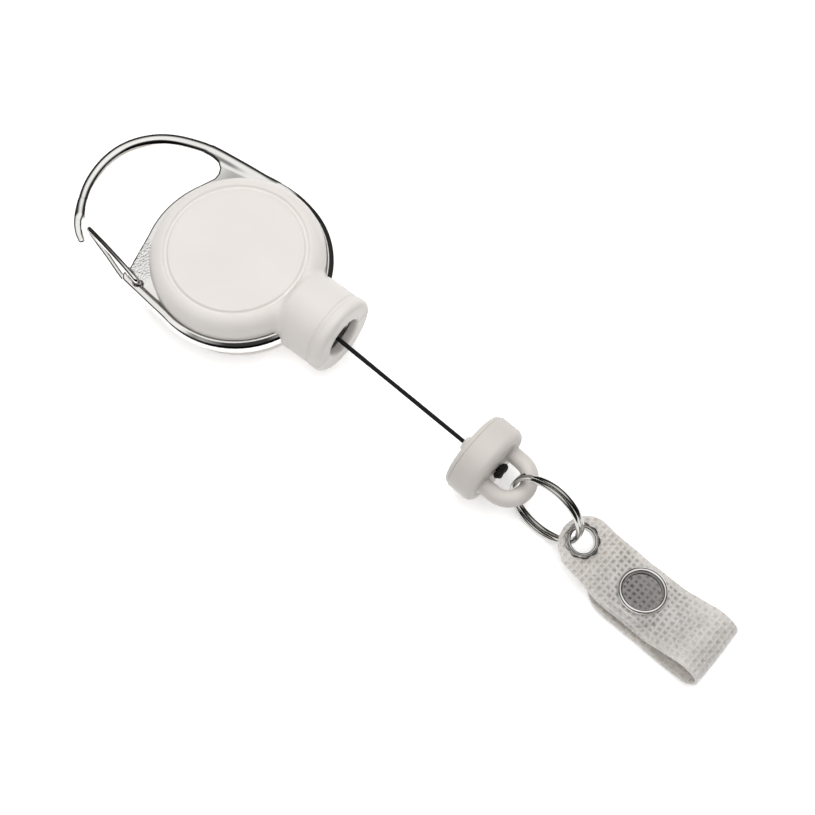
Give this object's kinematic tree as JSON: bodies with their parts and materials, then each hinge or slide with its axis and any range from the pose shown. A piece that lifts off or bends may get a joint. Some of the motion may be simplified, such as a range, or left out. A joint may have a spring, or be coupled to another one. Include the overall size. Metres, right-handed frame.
{
  "type": "retractable badge reel",
  "caption": "Round retractable cord reel on a wire-gate carabiner frame, with a nozzle, a thin cord, a looped end stop, a split ring and a folded press-stud badge strap.",
  "frame": {"origin": "on the axis of the round case, at the flat rear face that it rests on", "axes": "+Z along the case axis out of the front cover; +X along the nozzle axis, towards the strap"},
  "size_m": [0.1575, 0.0382, 0.0167],
  "materials": {
    "shell_plastic": "satin moulded, warm off-white",
    "stop_plastic": "satin moulded, warm light grey",
    "chrome": "bright nickel-chrome plating",
    "steel": "turned and pressed steel",
    "spool_plastic": "dark moulded acetal",
    "cord_black": "braided polyester cord",
    "frosted_plastic": "frosted translucent nylon",
    "strap_vinyl": "fabric-reinforced translucent vinyl"
  },
  "bodies": {
    "case": {"front_cover": "shell_plastic", "rear_cover": "shell_plastic", "carabiner_frame": "chrome", "cord_guide": "steel", "arbor": "steel", "case_pin": "steel", "power_spring": "steel"},
    "gate": {"gate_wire": "chrome"},
    "spool": {"spool": "spool_plastic", "spool_flange": "spool_plastic", "spring_retainer": "steel", "cord_winding": "cord_black"},
    "cord_end": {"cord": "cord_black", "cord_knot": "cord_black"},
    "end_stop": {"end_stop": "stop_plastic", "stop_plate": "stop_plastic", "cord_grommet": "frosted_plastic"},
    "ring": {"split_ring": "chrome"},
    "strap": {"strap_upper_leaf": "strap_vinyl", "eyelet": "chrome", "eyelet_washer": "chrome", "snap_prong_ring": "chrome", "snap_socket": "steel"},
    "strap_flap": {"strap_lower_leaf": "strap_vinyl", "snap_stud": "steel", "snap_back_ring": "chrome"}
  },
  "joints": [
    {"name": "gate_hinge", "type": "hinge", "parent": "case", "child": "gate", "pos_m": [-0.0126, -0.016, 0.0084], "axis": [0, 0, -1], "range_deg": [0, 34], "stiffness_Nm_per_rad": 0.012, "springref_deg": -20.05},
    {"name": "cord_pull", "type": "slide", "parent": "case", "child": "cord_end", "axis": [0.9977, -0.0671, 0], "range_m": [-0.0315, 0.5685], "stiffness_N_per_m": 1.2, "springref_m": -0.9, "deforming": ["cord"]},
    {"name": "spool_turn", "type": "hinge", "parent": "case", "child": "spool", "pos_m": [0, 0, 0.0084], "axis": [0, 0, 1], "range_deg": [-155, 2600]},
    {"name": "stop_twist", "type": "hinge", "parent": "cord_end", "child": "end_stop", "pos_m": [0.06269, -0.00336, 0.0084], "axis": [0.9977, -0.0671, 0], "continuous": true},
    {"name": "ring_swing", "type": "hinge", "parent": "end_stop", "child": "ring", "pos_m": [0.07331, -0.00407, 0.0084], "axis": [0.0671, 0.9977, 0], "range_deg": [-45, 45]},
    {"name": "strap_swing", "type": "hinge", "parent": "ring", "child": "strap", "pos_m": [0.08556, -0.0053, 0.0064], "axis": [0.0151, 0.2244, 0.9744], "range_deg": [-50, 50]},
    {"name": "flap_open", "type": "hinge", "parent": "strap", "child": "strap_flap", "pos_m": [0.11776, -0.00706, 0.0024], "axis": [-0.0671, -0.9977, 0], "range_deg": [0, 120]}
  ],
  "couplings": [
    {"joint": "spool_turn", "follows": "cord_pull", "rad_per_m": 79.7}
  ]
}
